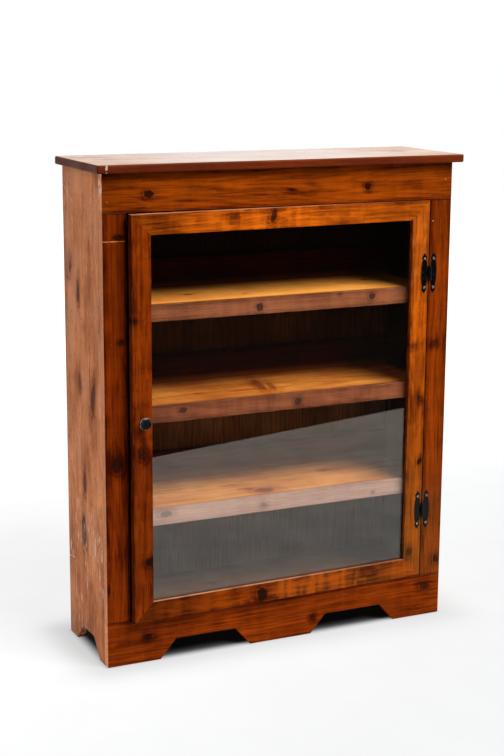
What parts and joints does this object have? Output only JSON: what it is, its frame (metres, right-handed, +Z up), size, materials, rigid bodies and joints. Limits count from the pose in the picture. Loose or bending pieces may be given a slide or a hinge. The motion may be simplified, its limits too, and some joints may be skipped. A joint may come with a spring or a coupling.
{
  "type": "display cabinet",
  "caption": "Low pine display cabinet with a glazed door on surface hinges, shelves on cleats, a face frame and cut-out feet.",
  "frame": {"origin": "on the floor under the middle of the cabinet's box, with the door ajar as at rest", "axes": "+Z up, front facing -Y, +X to the right seen from the front"},
  "size_m": [0.934, 0.3112, 1.17],
  "materials": {
    "top_pine": "stained and varnished pine, worn",
    "side_pine": "stained and varnished pine, dry and scuffed",
    "face_pine": "stained and varnished knotty pine, satin",
    "door_pine": "stained and varnished knotty pine, satin",
    "shelf_pine": "golden varnished knotty pine",
    "edging_pine": "stained pine strip",
    "inner_pine": "bare pine",
    "back_board": "dark pressed board",
    "glass": "clear sheet glass with faint wiping marks",
    "black_iron": "black painted iron, half gloss",
    "black_knob": "black enamel, glossy, worn rim",
    "catch_plastic": "moulded plastic",
    "magnet": "ferrite",
    "steel": "plain steel"
  },
  "bodies": {
    "carcass": {"top_board": "top_pine", "left_side_panel": "side_pine", "right_side_panel": "side_pine", "face_top_rail": "face_pine", "face_bottom_rail": "face_pine", "face_left_stile": "face_pine", "face_right_stile": "face_pine", "door_stop_strip": "inner_pine", "bottom_board": "shelf_pine", "back_panel": "back_board", "upper_shelf_board": "shelf_pine", "middle_shelf_board": "shelf_pine", "lower_shelf_board": "shelf_pine", "upper_shelf_edging": "edging_pine", "middle_shelf_edging": "edging_pine", "lower_shelf_edging": "edging_pine", "upper_shelf_back_rail": "face_pine", "middle_shelf_back_rail": "face_pine", "lower_shelf_back_rail": "face_pine", "left_upper_cleat": "inner_pine", "right_upper_cleat": "inner_pine", "left_middle_cleat": "inner_pine", "right_middle_cleat": "inner_pine", "left_lower_cleat": "inner_pine", "right_lower_cleat": "inner_pine", "left_floor_cleat": "inner_pine", "right_floor_cleat": "inner_pine", "upper_hinge_frame_leaf": "black_iron", "lower_hinge_frame_leaf": "black_iron", "upper_hinge_pin": "black_iron", "lower_hinge_pin": "black_iron", "frame_hinge_screws": "black_iron", "catch_housing": "catch_plastic", "catch_magnet": "magnet", "catch_pole_plates": "steel", "catch_screws": "steel", "cleat_screws": "steel", "face_frame_nails": "steel", "top_nails": "steel", "back_panel_nails": "steel"},
    "door": {"door_left_stile": "door_pine", "door_right_stile": "door_pine", "door_top_rail": "door_pine", "door_bottom_rail": "door_pine", "left_glazing_bead": "inner_pine", "right_glazing_bead": "inner_pine", "top_glazing_bead": "inner_pine", "bottom_glazing_bead": "inner_pine", "bead_brads": "steel", "door_mitre_splines": "inner_pine", "door_glass": "glass", "upper_hinge_door_leaf": "black_iron", "lower_hinge_door_leaf": "black_iron", "door_hinge_screws": "black_iron", "door_knob": "black_knob", "knob_screw": "steel", "catch_strike_plate": "steel", "strike_screw": "steel"}
  },
  "joints": [
    {"name": "door_swing", "type": "hinge", "parent": "carcass", "child": "door", "pos_m": [0.392, -0.11455, 0.58275], "axis": [0, 0, 1], "range_deg": [-1.94, 168]}
  ]
}
